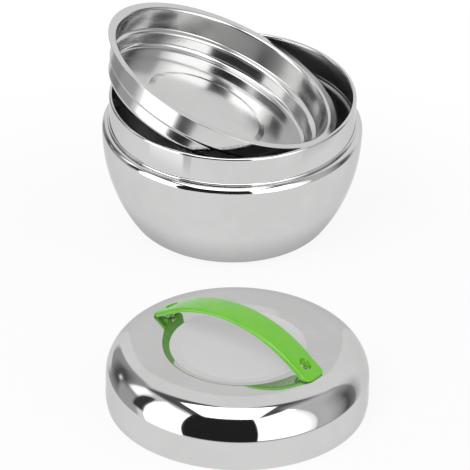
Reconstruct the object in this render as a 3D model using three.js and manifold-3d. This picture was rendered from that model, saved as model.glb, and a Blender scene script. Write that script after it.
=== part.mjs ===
// Insulated lunch box: a double-walled steel pot, a shallow steel tray leaning in its mouth,
// and a domed steel lid with a strap handle, lying on the table in front of the pot.
// Millimetres, +Z up, origin at the centre of the pot's flat base.

import * as THREE from 'three';
import { mergeVertices } from 'three/addons/utils/BufferGeometryUtils.js';
import Module from 'manifold-3d';

// General
const SHEET = 0.6;
const FIT_GAP = 0.3;
const FACETS = 36;
const SMALL_FACETS = 16;
const SIDE_STEPS = 5;
const CORNER_STEPS = 3;
const SHOULDER_STEPS = 6;
const ROLL_STEPS = 4;
const MERGE_TOLERANCE = 1e-4;

// Pot: a bulged bowl on a flat base, a round shoulder and a straight collar
const BODY_RADIUS = 82.7;
const BULGE_Z = 65.3;
const BODY_SIDE_RADIUS = 106.5;
const BASE_CORNER_RADIUS = 10.8;
const COLLAR_SET_BACK = 4.1;
const RIM_Z = 89.4;
const RIM_WIDTH = 2.5;
const BEAD_RADIUS = 0.9;
const INSULATION_SPACE = 6;
const LINER_CORNER_RADIUS = 10;

// Tray: flat flange, stepped wall, and a floor with a pressed centre disc
const FLANGE_OVERHANG = 0.3;
const FLANGE_WIDTH = 5.2;
const TRAY_DEPTH = 27;
const UPPER_WALL_DEPTH = 15.4;
const UPPER_WALL_TAPER = 2;
const LEDGE_WIDTH = 2.6;
const LEDGE_DROP = 1.4;
const LOWER_WALL_TAPER = 0.6;
const TRAY_CORNER_RADIUS = 4;
const DISC_RADIUS = 36;
const DISC_RISE = 1;
const DISC_SLOPE_WIDTH = 4;

// Where the tray leans in the mouth; its height follows from what it rests on
const TRAY_TILT = 22.64;
const TRAY_LEAN_TOWARDS = 8.35;
const TRAY_X = -6.68;
const TRAY_Y = 0.05;
const TRAY_REST_GAP = 0.5;
const RIM_SAMPLES = 360;
const LOWERING_STEP = 0.02;

// Lid: upright skirt, round shoulder, flat ring and a dished middle
const LID_X = 6.6;
const LID_Y = -221.6;
const LID_TURN = -38;
const LID_RADIUS = 82.7;
const HEM_INSET = 0.9;
const HEM_HEIGHT = 5;
const SKIRT_HEIGHT = 20;
const LID_SHOULDER_RADIUS = 22;
const LID_RING_WIDTH = 12.3;
const DISH_SLOPE_WIDTH = 13.3;
const DISH_DEPTH = 4.4;
const LID_INSULATION_SPACE = 3.1;
const LID_LINER_CORNER_RADIUS = 5;
const LID_EDGE_DROP = 0.6;
const GASKET_INSET = 1.1;
const GASKET_WIDTH = 5;
const GASKET_THICKNESS = 2.6;

// Handle: an arched strap whose feet reach past the lid's flat ring onto its shoulder
const HANDLE_REACH = 2.3;
const HANDLE_LEG_SLOPE = 33;
const HANDLE_ARCH_RADIUS = 92;
const HANDLE_MIDDLE_WIDTH = 19.5;
const HANDLE_END_WIDTH = 18.4;
const HANDLE_THICKNESS = 3.4;
const HANDLE_CROWN = 0.8;
const HANDLE_EDGE_RADIUS = 1.5;
const HANDLE_TIP_RADIUS = 5;
const HANDLE_TIP_THICKNESS = 1.2;
const FOOT_LENGTH = 14;
const FOOT_SLOPE = 32.2;
const FOOT_FLARE = 3;
const FOOT_EDGE_LIFT = 0.2;
const FOOT_RIB_WIDTH = 11;
const FOOT_RIB_DRAFT = 0.6;
const ARCH_STEPS = 7;
const FOOT_STEPS = 3;
const TIP_STEPS = 4;

// Handle fixings
const SCREW_INSET = 9.5;
const SCREW_RADIUS = 2;
const SCREW_HEAD_RADIUS = 3.1;
const SCREW_HEAD_HEIGHT = 1.8;
const SCREW_TAIL = 0.8;
const SCREW_HOLE_PLAY = 0.4;
const HEAD_RECESS_PLAY = 0.7;
const HEAD_SEAT_HEIGHT = 1.5;
const WASHER_RADIUS = 4.5;
const WASHER_THICKNESS = 0.8;
const NUT_WIDTH = 7;
const NUT_THICKNESS = 2.6;
const NUT_POCKET_PLAY = 1.5;

const STEEL = new THREE.MeshStandardMaterial({ color: 0xc9cacc, roughness: 0.08, metalness: 1 });
const FOAM = new THREE.MeshStandardMaterial({ color: 0xe8e2cf, roughness: 0.95, metalness: 0 });
const SILICONE = new THREE.MeshStandardMaterial({ color: 0xe6e8e8, roughness: 0.6, metalness: 0 });
const GREEN_PLASTIC = new THREE.MeshStandardMaterial({ color: 0x7cc843, roughness: 0.35, metalness: 0 });
const ZINC = new THREE.MeshStandardMaterial({ color: 0xb5b8ba, roughness: 0.3, metalness: 1 });

const wasm = await Module();
wasm.setup();

const radians = THREE.MathUtils.degToRad;
const point = (r, z) => new THREE.Vector2(r, z);

// Points of an arc in the (radius, height) plane, angles in degrees from the +radius direction
function arc(centreR, centreZ, radius, from, to, steps) {
  return Array.from({ length: steps + 1 }, (_, i) => {
    const angle = radians(from + (to - from) * i / steps);
    return point(centreR + radius * Math.cos(angle), centreZ + radius * Math.sin(angle));
  });
}

// The polyline moved sideways by a distance, to its left when positive, with mitred corners
function offsetLine(line, distance) {
  const normals = line.slice(1).map((end, i) => {
    const along = end.clone().sub(line[i]).normalize();
    return point(-along.y, along.x);
  });
  return line.map((vertex, i) => {
    const before = normals[Math.max(i - 1, 0)];
    const after = normals[Math.min(i, normals.length - 1)];
    const mitre = before.clone().add(after).normalize();
    return vertex.clone().addScaledVector(mitre, distance / mitre.dot(before));
  });
}

// The closed profile of a pressed sheet whose show face is the line, with the metal on its left
function sheetProfile(line) {
  return [...line, ...offsetLine(line, SHEET).reverse()];
}

// A solid turned about Z from a profile that runs anticlockwise; it ends on the axis or closes on itself
function turned(profile, facets = FACETS) {
  const onAxis = profile[0].x === 0;
  const points = onAxis ? profile : [...profile, profile[0].clone()];
  return new THREE.LatheGeometry(points, facets).rotateX(Math.PI / 2);
}

// A closed geometry as a solid that can be joined and cut
function toSolid(geometry) {
  const bare = geometry.clone();
  bare.deleteAttribute('normal');
  bare.deleteAttribute('uv');
  const merged = mergeVertices(bare, MERGE_TOLERANCE);
  const index = merged.index.array;
  const kept = [];
  for (let i = 0; i < index.length; i += 3) {
    const [a, b, c] = index.slice(i, i + 3);
    if (a !== b && b !== c && c !== a) kept.push(a, b, c);
  }
  const vertProperties = new Float32Array(merged.attributes.position.array);
  const triVerts = new Uint32Array(kept);
  return new wasm.Manifold(new wasm.Mesh({ numProp: 3, vertProperties, triVerts }));
}

function toGeometry(solid) {
  const { vertProperties, triVerts } = solid.getMesh();
  const geometry = new THREE.BufferGeometry();
  geometry.setAttribute('position', new THREE.BufferAttribute(vertProperties, 3));
  geometry.setIndex(new THREE.BufferAttribute(triVerts, 1));
  return geometry;
}

function named(name, geometry, material) {
  const mesh = new THREE.Mesh(geometry, material);
  mesh.name = name;
  return mesh;
}

// An upright cylinder between two heights, standing at a distance along X
function upright(radius, lowZ, highZ, x) {
  const geometry = new THREE.CylinderGeometry(radius, radius, highZ - lowZ, SMALL_FACETS);
  return geometry.rotateX(Math.PI / 2).translate(x, 0, (lowZ + highZ) / 2);
}

// The outside of a bowl from the axis to its widest point: flat floor, round corner, bulged side
function bowlLine(inset, floorZ, cornerRadius) {
  const sideRadius = BODY_SIDE_RADIUS - inset;
  const sideCentreR = BODY_RADIUS - BODY_SIDE_RADIUS;
  const cornerZ = floorZ + cornerRadius;
  const rise = BULGE_Z - cornerZ;
  const reach = Math.sqrt((sideRadius - cornerRadius) ** 2 - rise ** 2);
  const joinAngle = -THREE.MathUtils.radToDeg(Math.atan2(rise, reach));
  return [
    point(0, floorZ),
    ...arc(sideCentreR + reach, cornerZ, cornerRadius, -90, joinAngle, CORNER_STEPS),
    ...arc(sideCentreR, BULGE_Z, sideRadius, joinAngle, 0, SIDE_STEPS).slice(1),
  ];
}

const collarRadius = BODY_RADIUS - COLLAR_SET_BACK;
const lipRadius = collarRadius + FIT_GAP;
const shoulderRadius = BODY_RADIUS - lipRadius;
const lipZ = BULGE_Z + shoulderRadius;

function potOuterShell() {
  const shoulder = arc(lipRadius, BULGE_Z, shoulderRadius, 0, 90, CORNER_STEPS).slice(1);
  return turned(sheetProfile([...bowlLine(0, 0, BASE_CORNER_RADIUS), ...shoulder]));
}

const linerFloorZ = SHEET + INSULATION_SPACE;
const rimRadius = RIM_WIDTH / 2;
const rimCentreR = collarRadius - rimRadius;
const rimCentreZ = RIM_Z - rimRadius;

// The bead below the collar hangs the liner on the lip of the outer shell, and the rim is rolled inwards
function potInnerLiner() {
  const beadZ = lipZ + FIT_GAP + BEAD_RADIUS;
  const line = [
    ...bowlLine(SHEET + INSULATION_SPACE, linerFloorZ, LINER_CORNER_RADIUS),
    point(collarRadius, lipZ - SHEET),
    ...arc(collarRadius, beadZ, BEAD_RADIUS, -90, 90, CORNER_STEPS),
    ...arc(rimCentreR, rimCentreZ, rimRadius, 0, 180, ROLL_STEPS),
  ];
  return turned(sheetProfile(line));
}

function potInsulation() {
  const outerInset = SHEET + FIT_GAP;
  const innerInset = SHEET + INSULATION_SPACE - FIT_GAP;
  const outer = bowlLine(outerInset, outerInset, BASE_CORNER_RADIUS - outerInset);
  const inner = bowlLine(innerInset, linerFloorZ - FIT_GAP, LINER_CORNER_RADIUS + FIT_GAP);
  return turned([...outer, ...inner.reverse()]);
}

const flangeRadius = collarRadius + FLANGE_OVERHANG;
const trayWallTop = flangeRadius - FLANGE_WIDTH;
const ledgeOuterR = trayWallTop - UPPER_WALL_TAPER;
const lowerWallTop = ledgeOuterR - LEDGE_WIDTH;
const lowerWallFoot = lowerWallTop - LOWER_WALL_TAPER;

// The underside of the tray from its axis to the edge of its flange, with the flange's top at height 0
function trayLine() {
  const floorZ = -TRAY_DEPTH;
  const cornerR = lowerWallFoot - TRAY_CORNER_RADIUS;
  const cornerZ = floorZ + TRAY_CORNER_RADIUS;
  return [
    point(0, floorZ + DISC_RISE),
    point(DISC_RADIUS, floorZ + DISC_RISE),
    point(DISC_RADIUS + DISC_SLOPE_WIDTH, floorZ),
    ...arc(cornerR, cornerZ, TRAY_CORNER_RADIUS, -90, 0, CORNER_STEPS),
    point(lowerWallTop, -UPPER_WALL_DEPTH - LEDGE_DROP),
    point(ledgeOuterR, -UPPER_WALL_DEPTH),
    point(trayWallTop, -SHEET),
    point(flangeRadius, -SHEET),
  ];
}

// Shortest distance from a point to a polyline
function distanceToLine(target, line) {
  const nearest = new THREE.Vector3();
  const spot = new THREE.Vector3(target.x, target.y, 0);
  const gaps = line.slice(1).map((end, i) => {
    const start = line[i];
    const edge = new THREE.Line3(new THREE.Vector3(start.x, start.y, 0), new THREE.Vector3(end.x, end.y, 0));
    edge.closestPointToPoint(spot, true, nearest);
    return nearest.distanceTo(spot);
  });
  return Math.min(...gaps);
}

const leanAngle = radians(TRAY_LEAN_TOWARDS);
const tiltAxis = new THREE.Vector3(-Math.sin(leanAngle), Math.cos(leanAngle), 0);
const trayTurn = new THREE.Quaternion().setFromAxisAngle(tiltAxis, radians(TRAY_TILT));

// Least gap between the rolled rim and the underside of the leaning tray at a height
function rimGap(line, trayZ) {
  const untilt = trayTurn.clone().invert();
  const centre = new THREE.Vector3(TRAY_X, TRAY_Y, trayZ);
  const gaps = Array.from({ length: RIM_SAMPLES }, (_, i) => {
    const angle = 2 * Math.PI * i / RIM_SAMPLES;
    const spot = new THREE.Vector3(rimCentreR * Math.cos(angle), rimCentreR * Math.sin(angle), rimCentreZ);
    spot.sub(centre).applyQuaternion(untilt);
    return distanceToLine(point(Math.hypot(spot.x, spot.y), spot.z), line) - rimRadius;
  });
  return Math.min(...gaps);
}

// The tray is lowered into the mouth until it rests on the rim
function restingHeight() {
  const line = trayLine();
  let height = RIM_Z + flangeRadius;
  while (rimGap(line, height - LOWERING_STEP) > TRAY_REST_GAP) {
    height -= LOWERING_STEP;
  }
  return height;
}

function foodTray() {
  const group = new THREE.Group();
  group.position.set(TRAY_X, TRAY_Y, restingHeight());
  group.quaternion.copy(trayTurn);
  group.add(named('food_tray', turned(sheetProfile(trayLine())), STEEL));
  return group;
}

const lidTopZ = SKIRT_HEIGHT + LID_SHOULDER_RADIUS;
const crownRadius = LID_RADIUS - LID_SHOULDER_RADIUS;
const dishRadius = crownRadius - LID_RING_WIDTH;
const dishFloorRadius = dishRadius - DISH_SLOPE_WIDTH;

// The outside of the lid from its bottom edge to the axis
function lidLine() {
  return [
    point(LID_RADIUS - HEM_INSET, 0),
    point(LID_RADIUS, HEM_HEIGHT),
    ...arc(crownRadius, SKIRT_HEIGHT, LID_SHOULDER_RADIUS, 0, 90, SHOULDER_STEPS),
    point(dishRadius, lidTopZ),
    point(dishFloorRadius, lidTopZ - DISH_DEPTH),
    point(0, lidTopZ - DISH_DEPTH),
  ];
}

// Height of the lid's round shoulder, or of a surface at a depth inside it, at a distance from the axis
function lidHeight(distance, depth) {
  const intoShoulder = Math.max(distance - crownRadius, 0);
  return SKIRT_HEIGHT + Math.sqrt((LID_SHOULDER_RADIUS - depth) ** 2 - intoShoulder ** 2);
}

const halfHandle = crownRadius + HANDLE_REACH;
const footStart = halfHandle - FOOT_LENGTH;
const legSlope = radians(HANDLE_LEG_SLOPE);
const archReach = Math.min(HANDLE_ARCH_RADIUS * Math.sin(legSlope), footStart);

// Drop of the handle's top face from its middle: a round arch, straight legs and flatter feet
function handleDrop(distance) {
  const onArch = Math.min(distance, archReach);
  const onLeg = Math.max(Math.min(distance, footStart) - archReach, 0);
  const onFoot = Math.max(distance - footStart, 0);
  const archDrop = HANDLE_ARCH_RADIUS - Math.sqrt(HANDLE_ARCH_RADIUS ** 2 - onArch ** 2);
  return archDrop + onLeg * Math.tan(legSlope) + onFoot * Math.tan(radians(FOOT_SLOPE));
}

const handleTopZ = lidHeight(halfHandle, 0) + HANDLE_TIP_THICKNESS + handleDrop(halfHandle);
const screwX = halfHandle - SCREW_INSET;
const screwHoleRadius = SCREW_RADIUS + SCREW_HOLE_PLAY;

// The washers lie under the curve of the shoulder, so they sit at the height it has at their outer edge
const washerTopZ = lidHeight(screwX + WASHER_RADIUS, SHEET) - FIT_GAP;
const nutTopZ = washerTopZ - WASHER_THICKNESS - FIT_GAP;
const nutBottomZ = nutTopZ - NUT_THICKNESS;

// The lid's liner passes under the dish and the screws' tails
const lidCeilingZ = Math.min(lidTopZ - DISH_DEPTH - SHEET, nutBottomZ - SCREW_TAIL) - LID_INSULATION_SPACE;

function lidOuterShell() {
  let shell = toSolid(turned(sheetProfile(lidLine())));
  for (const side of [-1, 1]) {
    shell = shell.subtract(toSolid(upright(screwHoleRadius, 0, handleTopZ, side * screwX)));
  }
  return toGeometry(shell);
}

// When the lid is on, its edge stands on the pot's shoulder and the gasket presses on the tray's flange
const closedLidZ = lipZ - LID_EDGE_DROP;
const gasketZ = RIM_Z + SHEET - closedLidZ;
const linerFlangeZ = gasketZ + GASKET_THICKNESS + FIT_GAP;

// Inside radius of the lid's shell at a height on its round shoulder
function lidInsideRadius(z, inset) {
  return crownRadius + Math.sqrt((LID_SHOULDER_RADIUS - inset) ** 2 - (z - SKIRT_HEIGHT) ** 2);
}

const linerEdgeZ = linerFlangeZ + SHEET;
const linerEdgeRadius = lidInsideRadius(linerEdgeZ, SHEET + FIT_GAP) - FIT_GAP;
const gasketOuterRadius = linerEdgeRadius - GASKET_INSET;
const gasketInnerRadius = gasketOuterRadius - GASKET_WIDTH;

// The upper face of the lid's liner, from its edge to the axis
function lidLinerLine() {
  const cornerR = gasketInnerRadius - LID_LINER_CORNER_RADIUS;
  const cornerZ = lidCeilingZ - LID_LINER_CORNER_RADIUS;
  return [
    point(linerEdgeRadius, linerEdgeZ),
    point(gasketInnerRadius, linerEdgeZ),
    ...arc(cornerR, cornerZ, LID_LINER_CORNER_RADIUS, 0, 90, CORNER_STEPS),
    point(0, lidCeilingZ),
  ];
}

function lidGasket() {
  const lipRise = GASKET_THICKNESS / 2;
  const topZ = gasketZ + GASKET_THICKNESS;
  return turned([
    point(gasketInnerRadius, gasketZ + lipRise),
    point(gasketInnerRadius + lipRise, gasketZ),
    point(gasketOuterRadius - lipRise, gasketZ),
    point(gasketOuterRadius, gasketZ + lipRise),
    point(gasketOuterRadius, topZ),
    point(gasketInnerRadius, topZ),
  ]);
}

// Foam between the lid's shell and its liner, with a pocket for each nut
function lidInsulation() {
  const lower = offsetLine(lidLinerLine(), -FIT_GAP).slice(1).reverse();
  const edgeZ = linerEdgeZ + FIT_GAP;
  const inset = SHEET + FIT_GAP;
  const shoulder = LID_SHOULDER_RADIUS - inset;
  const startAngle = THREE.MathUtils.radToDeg(Math.asin((edgeZ - SKIRT_HEIGHT) / shoulder));
  const upper = [
    ...arc(crownRadius, SKIRT_HEIGHT, shoulder, startAngle, 90, CORNER_STEPS + 1),
    ...offsetLine(lidLine(), inset).slice(-3),
  ];
  let foam = toSolid(turned([...lower, ...upper]));
  const pocketRadius = WASHER_RADIUS + NUT_POCKET_PLAY;
  for (const side of [-1, 1]) {
    foam = foam.subtract(toSolid(upright(pocketRadius, 0, handleTopZ, side * screwX)));
  }
  return toGeometry(foam);
}

// Half the handle's width: it narrows towards the ends, which have round corners
function handleHalfWidth(distance) {
  const share = distance / halfHandle;
  const straight = THREE.MathUtils.lerp(HANDLE_MIDDLE_WIDTH, HANDLE_END_WIDTH, share * share) / 2;
  const intoTip = Math.max(distance - (halfHandle - HANDLE_TIP_RADIUS), 0);
  const bite = HANDLE_TIP_RADIUS - Math.sqrt(Math.max(HANDLE_TIP_RADIUS ** 2 - intoTip ** 2, 0));
  return straight - bite;
}

// Underside of the strap, which stays just clear of the lid at the tips
function handleUnderside(distance) {
  const slope = Math.asin(Math.min(distance, archReach) / HANDLE_ARCH_RADIUS);
  const strap = handleTopZ - handleDrop(distance) - HANDLE_THICKNESS / Math.cos(slope);
  return Math.max(strap, lidHeight(distance, 0) + FIT_GAP + FOOT_EDGE_LIFT);
}

// Underside of the rib that carries each screw; over a foot it runs down to the lid
function ribUnderside(distance) {
  const intoFoot = THREE.MathUtils.clamp((distance - footStart) / FOOT_FLARE, 0, 1);
  return THREE.MathUtils.lerp(handleUnderside(distance), lidHeight(distance, 0) + FIT_GAP, intoFoot);
}

// One cross-section of the handle: crowned top, rounded edges, and a flat underside with the rib along its middle
function handleSection(x) {
  const distance = Math.abs(x);
  const half = handleHalfWidth(distance);
  const top = handleTopZ - handleDrop(distance);
  const bottom = handleUnderside(distance);
  const crown = HANDLE_CROWN * (half / (HANDLE_MIDDLE_WIDTH / 2)) ** 2;
  const crowned = (y) => top - crown * (y / half) ** 2;
  const edge = Math.min(HANDLE_EDGE_RADIUS, half / 2, 0.45 * (crowned(half) - bottom));
  const eased = edge * (1 - Math.SQRT1_2);
  const rib = Math.min(FOOT_RIB_WIDTH / 2, half - edge - 2 * FOOT_RIB_DRAFT);
  const right = [
    [rib, ribUnderside(distance)],
    [rib + FOOT_RIB_DRAFT, bottom],
    [half - edge, bottom],
    [half, bottom + edge],
    [half, crowned(half) - edge],
    [half - eased, crowned(half) - eased],
    [half - edge, crowned(half - edge)],
    [half / 2, crowned(half / 2)],
  ];
  const left = right.map(([y, z]) => [-y, z]).reverse();
  return [...right, [0, top], ...left].map(([y, z]) => [x, y, z]);
}

// Distances along the handle where a cross-section is drawn
function handleStations() {
  const tipStart = halfHandle - HANDLE_TIP_RADIUS;
  const arch = Array.from({ length: ARCH_STEPS }, (_, i) => footStart * i / ARCH_STEPS);
  const tip = arc(0, tipStart, HANDLE_TIP_RADIUS, 0, 90, TIP_STEPS).map((spot) => spot.y);
  const foot = Array.from({ length: FOOT_STEPS }, (_, i) => footStart + FOOT_FLARE
    + (tipStart - footStart - FOOT_FLARE) * i / FOOT_STEPS);
  const half = [...arch, footStart, ...foot, ...tip];
  return [...half.slice(1).reverse().map((s) => -s), ...half];
}

// A closed skin over a row of cross-sections that have equal numbers of points
function lofted(sections) {
  const count = sections[0].length;
  const index = [];
  for (let row = 0; row < sections.length - 1; row += 1) {
    for (let i = 0; i < count; i += 1) {
      const a = row * count + i;
      const b = row * count + (i + 1) % count;
      index.push(a, b, b + count, a, b + count, a + count);
    }
  }
  const last = (sections.length - 1) * count;
  for (let i = 1; i < count - 1; i += 1) {
    index.push(0, i + 1, i, last, last + i, last + i + 1);
  }
  const geometry = new THREE.BufferGeometry();
  geometry.setAttribute('position', new THREE.Float32BufferAttribute(sections.flat(2), 3));
  geometry.setIndex(index);
  return geometry;
}

const headSeatZ = lidHeight(screwX, 0) + HEAD_SEAT_HEIGHT;

function handle() {
  let strap = toSolid(lofted(handleStations().map(handleSection)));
  for (const side of [-1, 1]) {
    const hole = upright(screwHoleRadius, 0, handleTopZ, side * screwX);
    const recess = upright(SCREW_HEAD_RADIUS + HEAD_RECESS_PLAY, headSeatZ, handleTopZ, side * screwX);
    strap = strap.subtract(toSolid(hole)).subtract(toSolid(recess));
  }
  return toGeometry(strap);
}

// A pan-head screw, its tail just past the nut
function handleScrew() {
  const headZ = headSeatZ + FIT_GAP;
  const topZ = headZ + SCREW_HEAD_HEIGHT;
  const bevel = SCREW_HEAD_HEIGHT / 3;
  return turned([
    point(0, nutBottomZ - SCREW_TAIL),
    point(SCREW_RADIUS, nutBottomZ - SCREW_TAIL),
    point(SCREW_RADIUS, headZ),
    point(SCREW_HEAD_RADIUS, headZ),
    point(SCREW_HEAD_RADIUS, topZ - bevel),
    point(SCREW_HEAD_RADIUS - bevel, topZ),
    point(0, topZ),
  ], SMALL_FACETS);
}

function screwWasher() {
  const lowZ = washerTopZ - WASHER_THICKNESS;
  return turned([
    point(screwHoleRadius, lowZ),
    point(WASHER_RADIUS, lowZ),
    point(WASHER_RADIUS, washerTopZ),
    point(screwHoleRadius, washerTopZ),
  ], SMALL_FACETS);
}

function screwNut() {
  const outline = new THREE.Shape();
  const cornerRadius = NUT_WIDTH / 2 / Math.cos(Math.PI / 6);
  const corners = Array.from({ length: 6 }, (_, i) => {
    const angle = i * Math.PI / 3;
    return point(cornerRadius * Math.cos(angle), cornerRadius * Math.sin(angle));
  });
  outline.setFromPoints(corners);
  const bore = new THREE.Path();
  bore.absarc(0, 0, screwHoleRadius, 0, 2 * Math.PI, true);
  outline.holes.push(bore);
  const options = { depth: NUT_THICKNESS, bevelEnabled: false, curveSegments: SMALL_FACETS / 2 };
  return new THREE.ExtrudeGeometry(outline, options).translate(0, 0, nutBottomZ);
}

function pot() {
  const group = new THREE.Group();
  group.add(named('pot_outer_shell', potOuterShell(), STEEL));
  group.add(named('pot_inner_liner', potInnerLiner(), STEEL));
  group.add(named('pot_insulation', potInsulation(), FOAM));
  return group;
}

function lid() {
  const group = new THREE.Group();
  group.position.set(LID_X, LID_Y, 0);
  group.rotation.z = radians(LID_TURN);
  group.add(named('lid_outer_shell', lidOuterShell(), STEEL));
  group.add(named('lid_inner_liner', turned(sheetProfile(lidLinerLine())), STEEL));
  group.add(named('lid_insulation', lidInsulation(), FOAM));
  group.add(named('lid_gasket', lidGasket(), SILICONE));
  group.add(named('handle', handle(), GREEN_PLASTIC));
  for (const [side, x] of [['left', -screwX], ['right', screwX]]) {
    group.add(named(`handle_screw_${side}`, handleScrew().translate(x, 0, 0), STEEL));
    group.add(named(`screw_washer_${side}`, screwWasher().translate(x, 0, 0), ZINC));
    group.add(named(`screw_nut_${side}`, screwNut().translate(x, 0, 0), ZINC));
  }
  return group;
}

const lunchBox = new THREE.Group();
lunchBox.add(pot(), foodTray(), lid());

export default lunchBox;
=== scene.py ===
"""Dresses the insulated lunch box: a steel pot, a tray leaning in its mouth, and a lid with a strap handle.

Sizes are in millimetres until a surface becomes a mesh. Meshes, the studio and the camera are in metres.
"""

import logging
import math
from dataclasses import dataclass, field, replace
from enum import Enum
from typing import Optional, Sequence

import bpy
import numpy as np
from mathutils import Matrix, Vector


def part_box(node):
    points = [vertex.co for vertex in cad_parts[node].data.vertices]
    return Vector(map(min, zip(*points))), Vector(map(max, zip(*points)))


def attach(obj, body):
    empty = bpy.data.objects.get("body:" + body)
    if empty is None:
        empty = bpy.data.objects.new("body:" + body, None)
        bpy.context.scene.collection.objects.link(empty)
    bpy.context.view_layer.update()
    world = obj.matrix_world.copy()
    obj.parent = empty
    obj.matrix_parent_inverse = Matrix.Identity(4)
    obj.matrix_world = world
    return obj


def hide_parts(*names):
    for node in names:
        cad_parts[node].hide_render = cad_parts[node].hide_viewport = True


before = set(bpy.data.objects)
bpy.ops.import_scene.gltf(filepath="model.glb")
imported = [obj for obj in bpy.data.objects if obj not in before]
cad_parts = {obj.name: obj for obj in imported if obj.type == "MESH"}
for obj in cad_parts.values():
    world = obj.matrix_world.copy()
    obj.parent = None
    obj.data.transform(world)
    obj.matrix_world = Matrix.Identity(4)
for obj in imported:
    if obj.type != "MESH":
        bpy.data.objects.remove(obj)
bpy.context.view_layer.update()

LOG = logging.getLogger("lunch_box")
MM = 0.001
TURN_SEGMENTS = 160
SMALL_SEGMENTS = 48
ROUND_STEPS = 12
SIDE_STEPS = 40
STRAP_STEPS = 89
EDGE_STEPS = 8
FACE_STEPS = 42
AXIS_LIMIT = 1e-6

Pair = tuple[float, float]
Triple = tuple[float, float, float]
Colour = tuple[float, float, float, float]
Lengths = float | np.ndarray
Object = bpy.types.Object
Material = bpy.types.Material
Node = bpy.types.Node
NodeTree = bpy.types.NodeTree
Socket = bpy.types.NodeSocket
Value = float | Triple | Colour | Socket

WHITE: Colour = (1, 1, 1, 1)


class Body(Enum):
    """The bodies that pieces ride on."""

    POT = "pot"
    TRAY = "tray"
    LID = "lid"


class Slot(Enum):
    """The record's material slot names; the lid's pieces are listed with one, which nothing reads."""

    STEEL = "polished_steel"
    SILICONE = "silicone"
    GREEN = "green_plastic"
    SCREW = "screw_steel"


def millimetres(node: str) -> tuple[np.ndarray, np.ndarray]:
    """Gives a CAD node's lowest and highest corners in millimetres."""
    low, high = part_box(node)
    return np.array(low) / MM, np.array(high) / MM


def half_across(node: str) -> float:
    """Gives half a CAD node's length along Y in millimetres, which is a round piece's radius."""
    low, high = millimetres(node)
    return (high[1] - low[1]) / 2


def grey(level: float) -> Colour:
    """Gives the grey of a level."""
    return level, level, level, 1


def new_object(name: str, data: bpy.types.ID) -> Object:
    """Makes an object of a mesh, a light or a camera, and links it to the scene."""
    thing = bpy.data.objects.new(name, data)
    bpy.context.scene.collection.objects.link(thing)
    return thing


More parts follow.
